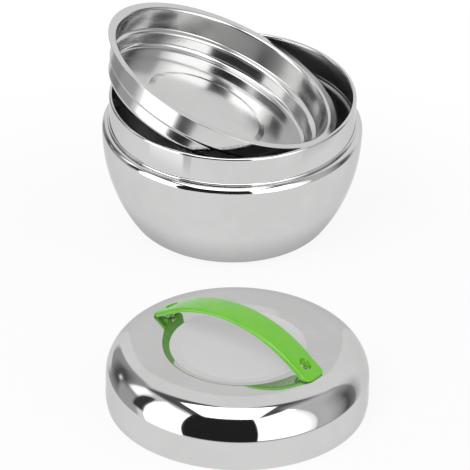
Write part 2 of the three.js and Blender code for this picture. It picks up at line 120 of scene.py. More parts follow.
@dataclass(frozen=True)
class Profile:
    """A line in the (radius, height) plane, with the unit normal on its right-hand side at each point."""

    points: np.ndarray
    normals: np.ndarray

    @classmethod
    def line(cls, start: Sequence[float], end: Sequence[float]) -> "Profile":
        """Makes a straight stretch: start + t (end - start), whose normal is its direction turned right.

        Args:
            start: First point.
            end: Last point.

        Returns:
            The stretch.
        """
        points = np.array([start, end], float)
        along = points[1] - points[0]
        along = along / np.linalg.norm(along)
        return cls(points, np.tile([along[1], -along[0]], (2, 1)))

    @classmethod
    def arc(cls, centre: Sequence[float], radius: float, start: float, stop: float, steps: int) -> "Profile":
        """Makes an arc: centre + radius (cos a, sin a), with a running evenly from start to stop.

        Args:
            centre: Centre of the arc.
            radius: Radius of the arc.
            start: First angle in degrees from the +radius direction.
            stop: Last angle; the arc runs anticlockwise if it is the larger.
            steps: Number of steps.

        Returns:
            The arc, with normals that point outwards when it runs anticlockwise.
        """
        angles = np.radians(np.linspace(start, stop, steps + 1))
        spokes = np.stack([np.cos(angles), np.sin(angles)], axis=1)
        return cls(np.asarray(centre) + radius * spokes, spokes * np.sign(stop - start))

    @classmethod
    def rounded(cls, corners: Sequence[Pair], radii: Sequence[float]) -> "Profile":
        """Makes a line through corners, each inner one replaced by the arc that touches both its sides.

        Args:
            corners: Corner points, in order.
            radii: One arc radius for each inner corner.

        Returns:
            The rounded line.
        """
        spots = np.array(corners, float)
        ways = np.diff(spots, axis=0)
        ways = ways / np.linalg.norm(ways, axis=1, keepdims=True)
        pieces = []
        last = spots[0]
        for spot, before, after, radius in zip(spots[1:-1], ways[:-1], ways[1:], radii):
            side = math.copysign(1, before[0] * after[1] - before[1] * after[0])
            bend = math.acos(np.clip(before @ after, -1, 1))
            start = spot - before * radius * math.tan(bend / 2)
            centre = start + side * radius * np.array([-before[1], before[0]])
            first = math.degrees(math.atan2(*(start - centre)[::-1]))
            turn = side * math.degrees(bend)
            pieces.append(cls.line(last, start))
            pieces.append(cls.arc(centre, radius, first, first + turn, ROUND_STEPS))
            last = pieces[-1].points[-1]
        pieces.append(cls.line(last, spots[-1]))
        return cls.joined(pieces)

    @classmethod
    def joined(cls, pieces: Sequence["Profile"]) -> "Profile":
        """Joins stretches end to end and drops doubled points.

        Args:
            pieces: The stretches, in order.

        Returns:
            The whole line.
        """
        points = np.concatenate([piece.points for piece in pieces])
        normals = np.concatenate([piece.normals for piece in pieces])
        keep = np.append(True, np.linalg.norm(np.diff(points, axis=0), axis=1) > AXIS_LIMIT)
        return cls(points[keep], normals[keep])

    def lengths(self) -> np.ndarray:
        """Gives the length of the line up to each point."""
        return np.append(0, np.cumsum(np.linalg.norm(np.diff(self.points, axis=0), axis=1)))

    def inside(self, depth: float) -> "Profile":
        """Gives the line at a depth to the left, run backwards, as the other face of a sheet."""
        return Profile((self.points - depth * self.normals)[::-1], -self.normals[::-1])

    def edge(self, thickness: float) -> "Profile":
        """Draws the half-circle that closes a sheet's edge past the last point of this face.

        Args:
            thickness: Thickness of the sheet.

        Returns:
            The half-circle.
        """
        normal = self.normals[-1]
        start = math.degrees(math.atan2(normal[1], normal[0]))
        centre = self.points[-1] - normal * thickness / 2
        return Profile.arc(centre, thickness / 2, start, start + 180, ROUND_STEPS // 2)

    def sheet(self, thickness: float) -> "Profile":
        """Draws the section of a pressed sheet whose show face is this line, with one end on the axis.

        The other face lies at the sheet's thickness to the left, and a half-circle closes the edge.

        Args:
            thickness: Thickness of the sheet.

        Returns:
            A profile that starts and ends on the axis.
        """
        other = self.inside(thickness)
        first, second = (self, other) if self.points[0, 0] < AXIS_LIMIT else (other, self)
        return Profile.joined([first, first.edge(thickness), second])


@dataclass
class Surface:
    """A mesh as arrays: places in millimetres, normals, the corners of its faces and a UV pair for each."""

    places: np.ndarray
    corners: np.ndarray
    sizes: np.ndarray
    uv: np.ndarray
    normals: Optional[np.ndarray] = None

    def placed(self, centre: Sequence[float], turn: np.ndarray) -> "Surface":
        """Turns the surface about its origin and carries it to a centre: p' = turn p + centre.

        Args:
            centre: New place of the origin.
            turn: Rotation matrix.

        Returns:
            The surface in its new place.
        """
        normals = None if self.normals is None else self.normals @ turn.T
        return replace(self, places=self.places @ turn.T + np.asarray(centre), normals=normals)

    def to_object(self, name: str) -> Object:
        """Puts the surface into a smooth-shaded mesh object at the origin.

        Args:
            name: Name of the object.

        Returns:
            The object, linked to the scene.
        """
        mesh = bpy.data.meshes.new(name)
        mesh.vertices.add(len(self.places))
        mesh.vertices.foreach_set("co", (self.places * MM).astype(np.float32).ravel())
        mesh.loops.add(len(self.corners))
        mesh.loops.foreach_set("vertex_index", self.corners.astype(np.int32))
        mesh.polygons.add(len(self.sizes))
        starts = np.cumsum(self.sizes) - self.sizes
        mesh.polygons.foreach_set("loop_start", starts.astype(np.int32))
        mesh.polygons.foreach_set("use_smooth", np.ones(len(self.sizes), bool))
        mesh.uv_layers.new(name="along").data.foreach_set("uv", self.uv.astype(np.float32).ravel())
        mesh.update(calc_edges=True)
        mesh.validate()
        if self.normals is not None:
            mesh.normals_split_custom_set_from_vertices(self.normals)
        return new_object(name, mesh)


def covered(rings: np.ndarray, lengths: np.ndarray, ends: Optional[np.ndarray] = None) -> Surface:
    """Covers a row of closed rings with faces, and closes both ends with fans or joins last to first.

    Args:
        rings: Places as (rings, points round a ring, 3), each ring anticlockwise seen from the row's end.
        lengths: V of the first end, each ring and the last end, or of each ring and the join.
        ends: The two points at which the fans meet, or none to join the last ring to the first.

    Returns:
        A closed surface; U is the place round a ring from 0 to 1, and V the length.
    """
    count, segments = rings.shape[:2]
    ring_v = lengths if ends is None else lengths[1:-1]
    row, step = np.meshgrid(np.arange(len(ring_v) - 1), np.arange(segments), indexing="ij")
    above, ahead = (row + 1) % count, (step + 1) % segments
    quads = np.stack([row * segments + step, row * segments + ahead,
                      above * segments + ahead, above * segments + step], -1)
    u = np.stack([step, step + 1, step + 1, step], -1) / segments
    v = ring_v[np.stack([row, row, row + 1, row + 1], -1)]
    uv = np.stack([u, v], -1).reshape(-1, 2)
    places = rings.reshape(-1, 3)
    if ends is None:
        return Surface(places, quads.ravel(), np.full(row.size, 4), uv)
    step, ahead = step[0], ahead[0]
    base = (count - 1) * segments
    fans = np.stack([[np.full(segments, len(places)), ahead, step],
                     [np.full(segments, len(places) + 1), base + step, base + ahead]])
    fan_u = np.stack([[step + 0.5, step + 1, step], [step + 0.5, step, step + 1]]) / segments
    fan_v = np.broadcast_to(lengths[np.array([[0, 1, 1], [-1, -2, -2]])][:, :, None], fan_u.shape)
    fan_uv = np.stack([fan_u, fan_v], -1).swapaxes(1, 2).reshape(-1, 2)
    corners = np.concatenate([quads.ravel(), fans.swapaxes(1, 2).ravel()])
    sizes = np.repeat([4, 3], [row.size, 2 * segments])
    return Surface(np.concatenate([places, ends]), corners, sizes, np.concatenate([uv, fan_uv]))


def turned(profile: Profile, segments: int = TURN_SEGMENTS) -> Surface:
    """Turns a profile about the Z axis: (r cos a, r sin a, z) over the profile's length and the angle a.

    Args:
        profile: Section that runs anticlockwise, and starts and ends on the axis or ends where it starts.
        segments: Number of steps round the axis.

    Returns:
        A closed surface with one vertex at each pole; U is the angle in turns and V the length.
    """
    on_axis = profile.points[0, 0] < AXIS_LIMIT
    rings = slice(1 if on_axis else 0, -1)
    angles = 2 * math.pi * np.arange(segments) / segments
    spin = np.stack([np.cos(angles), np.sin(angles)], axis=1)

    def spun(line: np.ndarray) -> np.ndarray:
        """Carries the rings' (radius, height) pairs round the axis."""
        flat = line[rings, None, :1] * spin
        return np.concatenate([flat, np.broadcast_to(line[rings, None, 1:], flat.shape[:2] + (1,))], 2)

    def poles(line: np.ndarray) -> np.ndarray:
        """Gives the first and the last pair's heights as points of the axis."""
        return np.pad(line[[0, -1], 1:], ((0, 0), (2, 0)))

    surface = covered(spun(profile.points), profile.lengths(), poles(profile.points) if on_axis else None)
    facing = spun(profile.normals).reshape(-1, 3)
    surface.normals = np.concatenate([facing, poles(profile.normals)]) if on_axis else facing
    return surface


def cut(piece: Object, tool: Surface, sharp: float) -> None:
    """Takes a closed tool surface out of a piece, and marks edges over an angle as sharp.

    Args:
        piece: Object to cut.
        tool: Closed surface of the cutter.
        sharp: Least angle in degrees of an edge that stays sharp.
    """
    cutter = tool.to_object(piece.name + "_cutter")
    step = piece.modifiers.new("cut", "BOOLEAN")
    step.object = cutter
    step.operation = "DIFFERENCE"
    step.solver = "EXACT"
    result = bpy.data.meshes.new_from_object(piece.evaluated_get(bpy.context.evaluated_depsgraph_get()))
    piece.modifiers.remove(step)
    piece.data = result
    result.name = piece.name
    bpy.data.objects.remove(cutter)
    result.polygons.foreach_set("use_smooth", np.ones(len(result.polygons), bool))
    result.set_sharp_from_angle(angle=math.radians(sharp))


class Sheet:
    """Adds shader nodes to one tree, and links them."""

    def __init__(self, tree: NodeTree) -> None:
        """Takes the node tree to work in."""
        self.tree = tree

    def add(self, kind: str, inputs: Optional[dict] = None, **settings: object) -> Node:
        """Adds one node.

        Args:
            kind: Node type.
            inputs: Values or sockets for its inputs, by name or number.
            settings: Properties to set on the node first.

        Returns:
            The node.
        """
        node = self.tree.nodes.new(kind)
        for key, value in settings.items():
            setattr(node, key, value)
        self.fill(node, inputs or {})
        return node

    def fill(self, node: Node, inputs: dict) -> None:
        """Links sockets to a node's inputs, or sets the inputs' own values.

        Args:
            node: The node.
            inputs: Values or sockets, by the name or number of the input.
        """
        for key, value in inputs.items():
            if isinstance(value, Socket):
                self.tree.links.new(value, node.inputs[key])
            else:
                node.inputs[key].default_value = value

    def math(self, operation: str, first: Value, second: Value = 0.0, clamp: bool = False) -> Socket:
        """Adds a Math node and gives its result."""
        node = self.add("ShaderNodeMath", {0: first, 1: second}, operation=operation, use_clamp=clamp)
        return node.outputs[0]

    def spread(self, value: Value, low: float, high: float, first: float = 0.0, last: float = 1.0) -> Socket:
        """Adds a smooth Map Range node from one range of values to another and gives its result."""
        inputs = {0: value, 1: low, 2: high, 3: first, 4: last}
        return self.add("ShaderNodeMapRange", inputs, interpolation_type="SMOOTHSTEP").outputs[0]

    def mix(self, share: Value, first: Value, second: Value) -> Socket:
        """Adds a colour Mix node and gives its result."""
        return self.add("ShaderNodeMix", {0: share, 6: first, 7: second}, data_type="RGBA").outputs[2]

    def blend(self, share: Value, first: Socket, second: Socket) -> Socket:
        """Adds a Mix Shader node and gives its result."""
        return self.add("ShaderNodeMixShader", {0: share, 1: first, 2: second}).outputs[0]

    def noise(self, vector: Socket, scale: Value, detail: float) -> Socket:
        """Adds a Noise node and gives its value."""
        inputs = {"Vector": vector, "Scale": scale, "Detail": detail}
        return self.add("ShaderNodeTexNoise", inputs).outputs[0]

    def bump(self, height: Socket, strength: float, depth: float) -> Socket:
        """Adds a Bump node with a depth in millimetres and gives its normal."""
        inputs = {"Height": height, "Strength": strength, "Distance": depth * MM}
        return self.add("ShaderNodeBump", inputs).outputs[0]


def new_group(name: str, inputs: Sequence[str], outputs: Sequence[str]) -> tuple[Sheet, dict, Node]:
    """Starts a shader node group.

    Args:
        name: Name of the group.
        inputs: Names of its inputs; the one called Vector is a vector and the others are values.
        outputs: Names of its value outputs.

    Returns:
        The sheet to add nodes with, the input sockets by name, and the output node.
    """
    tree = bpy.data.node_groups.new(name, "ShaderNodeTree")
    for label in inputs:
        kind = "NodeSocketVector" if label == "Vector" else "NodeSocketFloat"
        tree.interface.new_socket(label, in_out="INPUT", socket_type=kind)
    for label in outputs:
        tree.interface.new_socket(label, in_out="OUTPUT", socket_type="NodeSocketFloat")
    sheet = Sheet(tree)
    entry = sheet.add("NodeGroupInput")
    return sheet, {label: entry.outputs[label] for label in inputs}, sheet.add("NodeGroupOutput")


@dataclass
class SharedEffects:
    """The effects that several finishes use, each built once as a node group."""

    ring_detail: float = 4.0
    smudge_details: Pair = (2.0, 3.0)
    fine_smudges: float = 5.0
    fine_smudge_base: float = 0.5
    smudge_limits: Pair = (0.35, 0.7)
    grain_detail: float = 4.0
    patch_detail: float = 2.0
    patch_scale: float = 0.03
    patch_limits: Pair = (0.3, 0.7)

    def __post_init__(self) -> None:
        """Builds the groups."""
        self.buffing = self.build_buffing()
        self.smudges = self.build_smudges()
        self.grain = self.build_grain()

    def build_buffing(self) -> NodeTree:
        """Builds fine polishing rings: noise over the V coordinate alone, so each ring runs right round.

        Returns:
            The group.
        """
        sheet, given, out = new_group("buffing_rings", ["Vector", "Rings per mm"], ["Height"])
        parts = sheet.add("ShaderNodeSeparateXYZ", {0: given["Vector"]})
        place = sheet.math("MULTIPLY", parts.outputs["Y"], given["Rings per mm"])
        inputs = {"W": place, "Scale": 1.0, "Detail": self.ring_detail}
        rings = sheet.add("ShaderNodeTexNoise", inputs, noise_dimensions="1D")
        sheet.fill(out, {"Height": rings.outputs[0]})
        return sheet.tree

    def build_smudges(self) -> NodeTree:
        """Builds soft patches left by wiping: two sizes of noise multiplied, from 0 to 1.

        Returns:
            The group.
        """
        sheet, given, out = new_group("wiping_smudges", ["Vector", "Scale"], ["Mask"])
        wide_detail, fine_detail = self.smudge_details
        wide = sheet.noise(given["Vector"], given["Scale"], wide_detail)
        fine_scale = sheet.math("MULTIPLY", given["Scale"], self.fine_smudges)
        fine = sheet.noise(given["Vector"], fine_scale, fine_detail)
        both = sheet.math("MULTIPLY", wide, sheet.math("ADD", fine, self.fine_smudge_base))
        sheet.fill(out, {"Mask": sheet.spread(both, *self.smudge_limits)})
        return sheet.tree

    def build_grain(self) -> NodeTree:
        """Builds the fine grain of a moulded surface: a height of small noise and a mask of wide noise.

        Returns:
            The group.
        """
        sheet, given, out = new_group("moulded_grain", ["Vector", "Scale"], ["Height", "Mask"])
        height = sheet.noise(given["Vector"], given["Scale"], self.grain_detail)
        wide_scale = sheet.math("MULTIPLY", given["Scale"], self.patch_scale)
        wide = sheet.noise(given["Vector"], wide_scale, self.patch_detail)
        sheet.fill(out, {"Height": height, "Mask": sheet.spread(wide, *self.patch_limits)})
        return sheet.tree


def new_material(name: str) -> tuple[Sheet, Node, Node]:
    """Starts a material.

    Args:
        name: Name of the material.

    Returns:
        Its sheet, its Principled shader and a Texture Coordinate node.
    """
    material = bpy.data.materials.new(name)
    material.use_nodes = True
    sheet = Sheet(material.node_tree)
    return sheet, sheet.tree.nodes["Principled BSDF"], sheet.add("ShaderNodeTexCoord")


@dataclass(frozen=True)
class SteelFinish:
    """Polished steel sheet with faint buffing rings and smudges, duller past a length of its profile."""

    name: str
    clean: Colour
    smudged: Colour
    roughness: float
    smudge_roughness: float
    rings_per_mm: float
    ring_strength: float
    ring_depth: float = 0.01
    smudge_scale: float = 16.0
    brushing: float = 0.0
    edge_tint: float = 0.8
    dull_from: float = 1e4
    dull_blend: float = 1.0
    dull_roughness: float = 0.3
    dull_level: float = 0.6
    dull_metallic: float = 1.0

    def material(self, effects: SharedEffects) -> Material:
        """Builds the material.

        Args:
            effects: The shared node groups.

        Returns:
            The material, which needs a UV map whose V runs across the buffing rings.
        """
        sheet, shader, places = new_material(self.name)
        inputs = {"Vector": places.outputs["Object"], "Scale": self.smudge_scale}
        mask = sheet.add("ShaderNodeGroup", inputs, node_tree=effects.smudges).outputs["Mask"]
        across = sheet.add("ShaderNodeSeparateXYZ", {0: places.outputs["UV"]}).outputs["Y"]
        half = self.dull_blend / 2
        dull = sheet.spread(across, self.dull_from - half, self.dull_from + half)
        bright = sheet.mix(mask, self.clean, self.smudged)
        rough = sheet.spread(mask, 0.0, 1.0, self.roughness, self.smudge_roughness)
        inputs = {"Vector": places.outputs["UV"], "Rings per mm": self.rings_per_mm}
        rings = sheet.add("ShaderNodeGroup", inputs, node_tree=effects.buffing)
        sheet.fill(shader, {
            "Base Color": sheet.mix(dull, bright, grey(self.dull_level)),
            "Roughness": sheet.math("MAXIMUM", rough, sheet.math("MULTIPLY", dull, self.dull_roughness)),
            "Metallic": 1.0,
            "Specular Tint": grey(self.edge_tint),
            "Anisotropic": self.brushing,
            "Normal": sheet.bump(rings.outputs["Height"], self.ring_strength, self.ring_depth),
        })
        if self.dull_metallic < 1:
            sheet.fill(shader, {"Metallic": sheet.spread(dull, 0.0, 1.0, 1.0, self.dull_metallic)})
        if self.brushing:
            tangent = sheet.add("ShaderNodeTangent", direction_type="UV_MAP", uv_map="along")
            sheet.fill(shader, {"Tangent": tangent.outputs[0]})
        return bpy.data.materials[self.name]


@dataclass(frozen=True)
class MouldedFinish:
    """A moulded or foamed surface: two shades over wide patches, and a fine grain in its height."""

    name: str
    light: Colour
    dark: Colour
    roughness: float
    roughness_spread: float
    grain_scale: float
    grain_strength: float
    grain_depth: float
    metallic: float = 0.0
    coat: float = 0.0

    def material(self, effects: SharedEffects) -> Material:
        """Builds the material.

        Args:
            effects: The shared node groups.

        Returns:
            The material, which reads Object coordinates only.
        """
        sheet, shader, places = new_material(self.name)
        inputs = {"Vector": places.outputs["Object"], "Scale": self.grain_scale}
        grain = sheet.add("ShaderNodeGroup", inputs, node_tree=effects.grain)
        mask = grain.outputs["Mask"]
        roughest = self.roughness + self.roughness_spread
        sheet.fill(shader, {
            "Base Color": sheet.mix(mask, self.light, self.dark),
            "Roughness": sheet.spread(mask, 0.0, 1.0, self.roughness, roughest),
            "Metallic": self.metallic,
            "Coat Weight": self.coat,
            "Coat Roughness": self.roughness / 2,
            "Normal": sheet.bump(grain.outputs["Height"], self.grain_strength, self.grain_depth),
        })
        return bpy.data.materials[self.name]


POLISHED_STEEL = SteelFinish(
    name="polished_steel_sheet", clean=(0.69, 0.687, 0.685, 1), smudged=(0.66, 0.658, 0.655, 1),
    roughness=0.035, smudge_roughness=0.07, rings_per_mm=3.0, ring_strength=0.05)
BRUSHED_STEEL = replace(
    POLISHED_STEEL, name="brushed_steel_sheet", roughness=0.125, smudge_roughness=0.15, brushing=0.5)
SCREW_STEEL = SteelFinish(
    name="screw_head_steel", clean=(0.74, 0.74, 0.73, 1), smudged=(0.62, 0.62, 0.61, 1),
    roughness=0.16, smudge_roughness=0.3, rings_per_mm=6.0, ring_strength=0.15)
GREEN_PLASTIC = MouldedFinish(
    name="satin_green_plastic", light=(0.165, 0.575, 0.02, 1), dark=(0.15, 0.535, 0.016, 1),
    roughness=0.2, roughness_spread=0.05, grain_scale=2600, grain_strength=0.05, grain_depth=0.03, coat=0.4)
SILICONE = MouldedFinish(
    name="pale_silicone", light=(0.8, 0.81, 0.8, 1), dark=(0.74, 0.75, 0.74, 1),
    roughness=0.5, roughness_spread=0.1, grain_scale=1800, grain_strength=0.1, grain_depth=0.04)
FOAM = MouldedFinish(
    name="cream_foam", light=(0.8, 0.74, 0.58, 1), dark=(0.7, 0.63, 0.47, 1),
    roughness=0.9, roughness_spread=0.08, grain_scale=900, grain_strength=0.6, grain_depth=0.4)
ZINC = MouldedFinish(
    name="zinc_plate", light=(0.62, 0.64, 0.66, 1), dark=(0.5, 0.52, 0.55, 1), metallic=1.0,
    roughness=0.28, roughness_spread=0.15, grain_scale=2200, grain_strength=0.15, grain_depth=0.02)


def dressed(piece: Object, material: Material, body: Body, node: str) -> None:
    """Gives a piece its material and its body, and hides the CAD node that it stands for.

    Args:
        piece: The object.
        material: Its material.
        body: The body it rides on.
        node: Name of the CAD node it replaces.
    """
    piece.data.materials.clear()
    piece.data.materials.append(material)
    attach(piece, body.value)
    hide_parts(node)
    LOG.info("%s: %d faces, on %s", piece.name, len(piece.data.polygons), body.value)


def kept(nodes: Sequence[str], material: Material) -> None:
    """Gives carried-over CAD nodes a material of their own.

    Args:
        nodes: Names of the nodes.
        material: The material.
    """
    for name in nodes:
        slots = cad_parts[name].data.materials
        slots.clear()
        slots.append(material)
        LOG.info("%s: kept, in %s", name, material.name)


@dataclass
class Pot:
    """The double-walled pot: a bulged outer shell, and a liner hung on it by a bead, with a rolled rim."""

    sheet: float = 0.6
    fit_gap: float = 0.3
    bulge_z: float = 65.3
    side_radius: float = 106.5
    base_corner: float = 10.8
    collar_set_back: float = 4.1
    rim_width: float = 2.5
    rim_curl: float = 250
    bead_radius: float = 0.9
    bead_root: float = 0.45
    crease: float = 0.06
    wall_space: float = 6
    liner_corner: float = 10
    liner_bend: float = 2.4
    body_radius: float = field(init=False)
    rim_z: float = field(init=False)

    def __post_init__(self) -> None:
        """Takes the overall sizes from the frame."""
        self.body_radius = millimetres("pot_outer_shell")[1][0]
        self.rim_z = millimetres("pot_inner_liner")[1][2]

    @property
    def collar(self) -> float:
        """Outer radius of the collar."""
        return self.body_radius - self.collar_set_back

    @property
    def lip_z(self) -> float:
        """Height of the outer shell's lip."""
        return self.bulge_z + self.body_radius - self.collar - self.fit_gap

    def bowl(self, inset: float, floor: float, corner: float) -> list[Profile]:
        """Draws a bowl from the axis to its widest point: a flat floor, a round corner and a bulged side.

        The side is an arc about a centre beyond the axis, and the corner's arc touches floor and side.

        Args:
            inset: Depth inside the outer shell's face.
            floor: Height of the floor.
            corner: Radius of the corner.

        Returns:
            The stretches in order.
        """
        centre = self.body_radius - self.side_radius
        radius = self.side_radius - inset
        rise = self.bulge_z - floor - corner
        reach = math.sqrt((radius - corner) ** 2 - rise ** 2)
        join = -math.degrees(math.atan2(rise, reach))
        return [
            Profile.line((0, floor), (centre + reach, floor)),
            Profile.arc((centre + reach, floor + corner), corner, -90, join, ROUND_STEPS),
            Profile.arc((centre, self.bulge_z), radius, join, 0, SIDE_STEPS),
        ]

    def outer_shell(self) -> Surface:
        """Draws the outer shell: the bowl, then a quarter-round shoulder up to the lip.

        Returns:
            The shell.
        """
        lip = self.collar + self.fit_gap
        shoulder = Profile.arc((lip, self.bulge_z), self.body_radius - lip, 0, 90, ROUND_STEPS)
        line = Profile.joined([*self.bowl(0, 0, self.base_corner), shoulder])
        return turned(line.sheet(self.sheet))

    def liner(self) -> Profile:
        """Draws the liner's outside: the inner bowl, a step out to the collar, the bead and the rolled rim.

        Returns:
            The line.
        """
        inset = self.sheet + self.wall_space
        side = self.body_radius - inset
        roll = self.rim_width / 2
        bead_z = self.lip_z + self.fit_gap + self.bead_radius
        bead_low = bead_z - self.bead_radius
        bead_high = bead_z + self.bead_radius
        step = Profile.rounded(
            [(side, self.bulge_z), (side, self.bulge_z + self.liner_bend / 2),
             (self.collar, self.lip_z - self.sheet), (self.collar, bead_low - self.bead_root)],
            [self.liner_bend, self.liner_bend / 2])
        foot = Profile.line((self.collar, bead_low - self.bead_root / 2), (self.collar, bead_low))
        bead = Profile.arc((self.collar, bead_z), self.bead_radius, -90, 90, ROUND_STEPS)
        wall = Profile.line((self.collar, bead_high + self.crease), (self.collar, self.rim_z - roll))
        rim = Profile.arc((self.collar - roll, self.rim_z - roll), roll, 0, self.rim_curl, 2 * ROUND_STEPS)
        return Profile.joined([*self.bowl(inset, inset, self.liner_corner), step, foot, bead, wall, rim])

    def build(self, effects: SharedEffects, steel: Material, foam: Material) -> None:
        """Builds and dresses the pot's pieces; the liner is duller inside than outside.

        Args:
            effects: The shared node groups.
            steel: Material of the outer shell.
            foam: Material of the insulation.
        """
        shell = self.outer_shell().to_object("pot_outer_shell_skin")
        dressed(shell, steel, Body.POT, "pot_outer_shell")
        line = self.liner()
        finish = replace(POLISHED_STEEL, name="polished_steel_liner", dull_from=line.lengths()[-1])
        liner = turned(line.sheet(self.sheet)).to_object("pot_inner_liner_skin")
        dressed(liner, finish.material(effects), Body.POT, "pot_inner_liner")
        kept(["pot_insulation"], foam)


@dataclass
class Tray:
    """The shallow tray that leans in the pot's mouth."""

    sheet: float = 0.6
    flange_radius: float = 78.9
    flange_width: float = 5.2
    flange_bend: float = 1.6
    depth: float = 27
    upper_depth: float = 15.4
    upper_taper: float = 2
    ledge_width: float = 2.6
    ledge_drop: float = 1.4
    ledge_bend: float = 1.8
    lower_taper: float = 0.6
    corner: float = 4
    disc_radius: float = 36
    disc_rise: float = 1
    disc_slope: float = 4
    disc_bend: float = 1.6
    tilt: float = 22.64
    lean_towards: float = 8.35
    centre_x: float = -6.68
    centre_y: float = 0.05

    def turn(self) -> np.ndarray:
        """Gives the rotation that leans the tray: its tilt, about a level axis square to its lean."""
        way = math.radians(self.lean_towards)
        axis = Vector((-math.sin(way), math.cos(way), 0))
        return np.array(Matrix.Rotation(math.radians(self.tilt), 3, axis))

    def centre(self) -> Triple:
        """Gives the middle of the flange's top, whose height follows from the flange's highest point."""
        top = millimetres("food_tray")[1][2]
        return self.centre_x, self.centre_y, top - self.flange_radius * math.sin(math.radians(self.tilt))

    def surface(self) -> Surface:
        """Draws the tray's underside from the axis to the flange's edge, and thickens it upwards.

        Returns:
            The tray about its own axis, with the flange's top at height 0.
        """
        wall = self.flange_radius - self.flange_width
        ledge = wall - self.upper_taper
        lower = ledge - self.ledge_width
        floor = -self.depth
        corners = [
            (0, floor + self.disc_rise), (self.disc_radius, floor + self.disc_rise),
            (self.disc_radius + self.disc_slope, floor), (lower - self.lower_taper, floor),
            (lower, -self.upper_depth - self.ledge_drop), (ledge, -self.upper_depth),
            (wall, -self.sheet), (self.flange_radius - self.sheet / 2, -self.sheet),
        ]
        radii = [self.disc_bend, self.disc_bend, self.corner, self.ledge_bend, self.ledge_bend,
                 self.flange_bend]
        return turned(Profile.rounded(corners, radii).sheet(self.sheet))

    def build(self, steel: Material) -> None:
        """Builds and dresses the tray."""
        piece = self.surface().placed(self.centre(), self.turn()).to_object("food_tray_skin")
        dressed(piece, steel, Body.TRAY, "food_tray")


